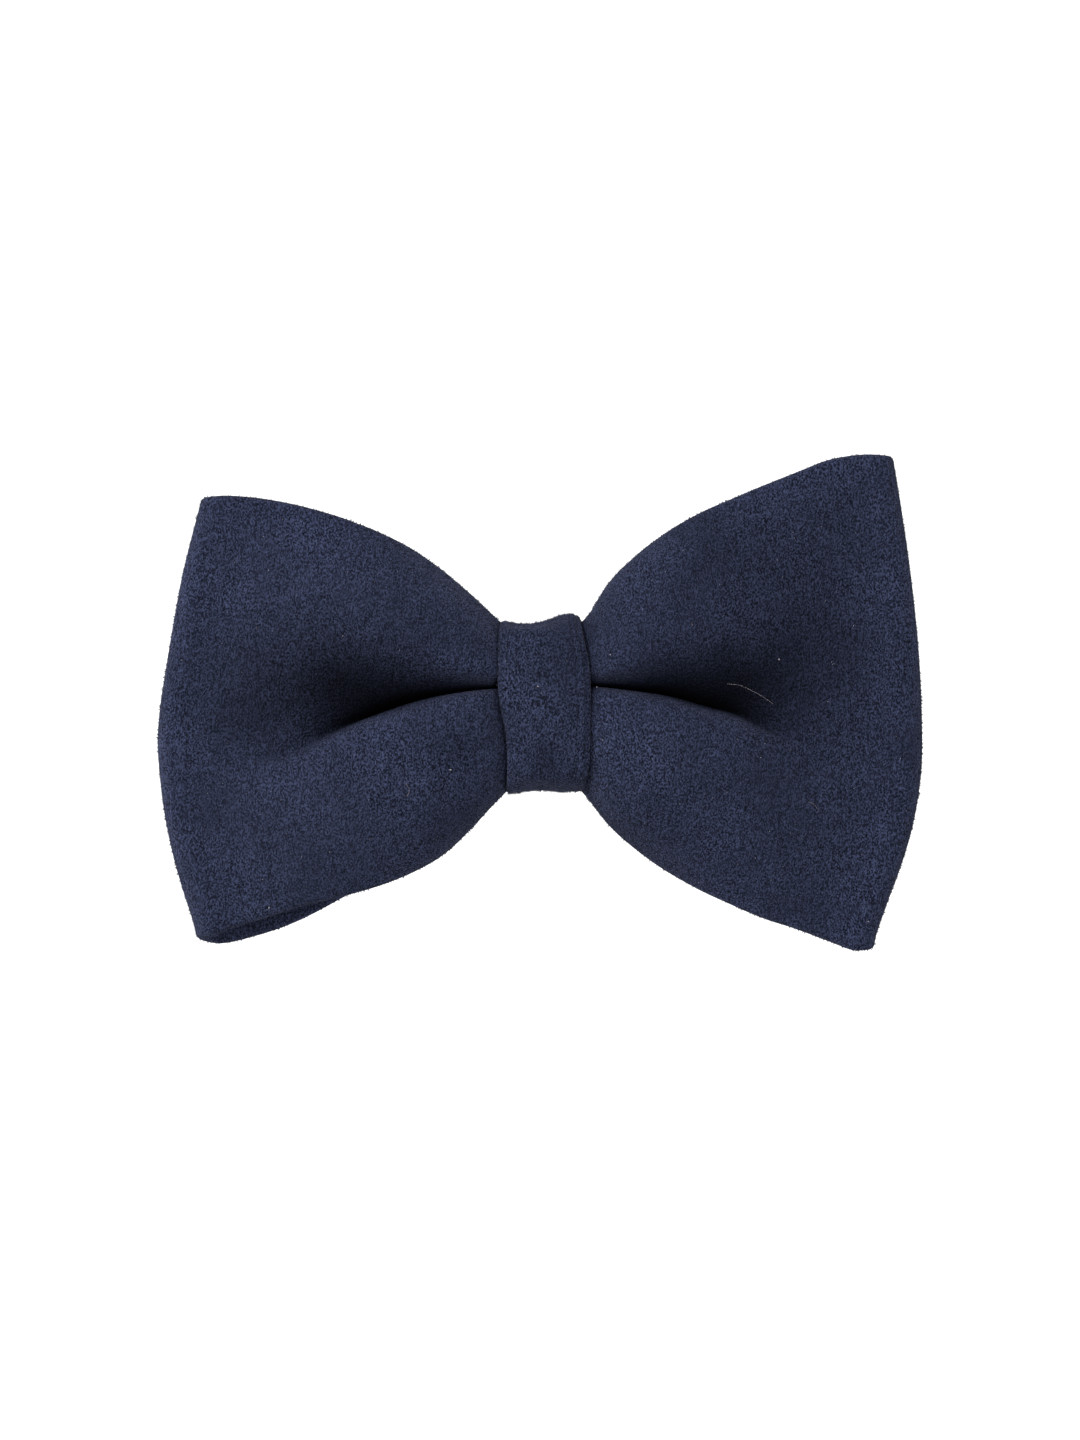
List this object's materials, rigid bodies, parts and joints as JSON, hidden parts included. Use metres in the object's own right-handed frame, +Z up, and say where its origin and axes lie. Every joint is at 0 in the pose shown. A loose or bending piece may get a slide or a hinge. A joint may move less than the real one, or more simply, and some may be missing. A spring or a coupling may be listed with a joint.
{
  "type": "bow tie",
  "caption": "Ready-tied velvet bow tie: a padded cloth loop pinched into two wings by a knot band, with a sprung double-jaw collar clip behind the knot.",
  "frame": {"origin": "middle of the clip plate's rear face, at the height of the knot's middle: the plane a shirt collar is gripped against", "axes": "+X to the right as the tie is seen from the front, -Y forwards out of the bow's face, +Y back towards the wearer's collar, +Z up"},
  "size_m": [0.1199, 0.0265, 0.0773],
  "materials": {
    "bow_cloth": "short navy velvet pile with fine upright lines",
    "knot_cloth": "short navy velvet pile, pulled smooth",
    "interlining": "matt woven felt",
    "thread": "twisted sewing thread",
    "clip_metal": "nickel-plated, slightly soft shine",
    "spring_steel": "plain drawn wire",
    "grip_vinyl": "soft clear-white vinyl"
  },
  "bodies": {
    "bow": {"bow_loop": "bow_cloth", "bow_interlining": "interlining", "waist_binding": "thread", "knot_band": "knot_cloth", "knot_interlining": "interlining", "knot_stitches": "thread", "clip_plate": "clip_metal", "clip_stitches": "thread", "left_pin": "clip_metal", "right_pin": "clip_metal", "left_spring": "spring_steel", "right_spring": "spring_steel", "left_grip_pad": "grip_vinyl", "right_grip_pad": "grip_vinyl"},
    "left_jaw_body": {"left_jaw": "clip_metal"},
    "right_jaw_body": {"right_jaw": "clip_metal"}
  },
  "joints": [
    {"name": "left_jaw_hinge", "type": "hinge", "parent": "bow", "child": "left_jaw_body", "pos_m": [-0.012, 0.003, 0], "axis": [0, 0, -1], "range_deg": [0, 28], "stiffness_Nm_per_rad": 0.04, "springref_deg": -45.84, "deforming": ["left_spring"]},
    {"name": "right_jaw_hinge", "type": "hinge", "parent": "bow", "child": "right_jaw_body", "pos_m": [0.012, 0.003, 0], "axis": [0, 0, 1], "range_deg": [0, 28], "stiffness_Nm_per_rad": 0.04, "springref_deg": -45.84, "deforming": ["right_spring"]}
  ]
}
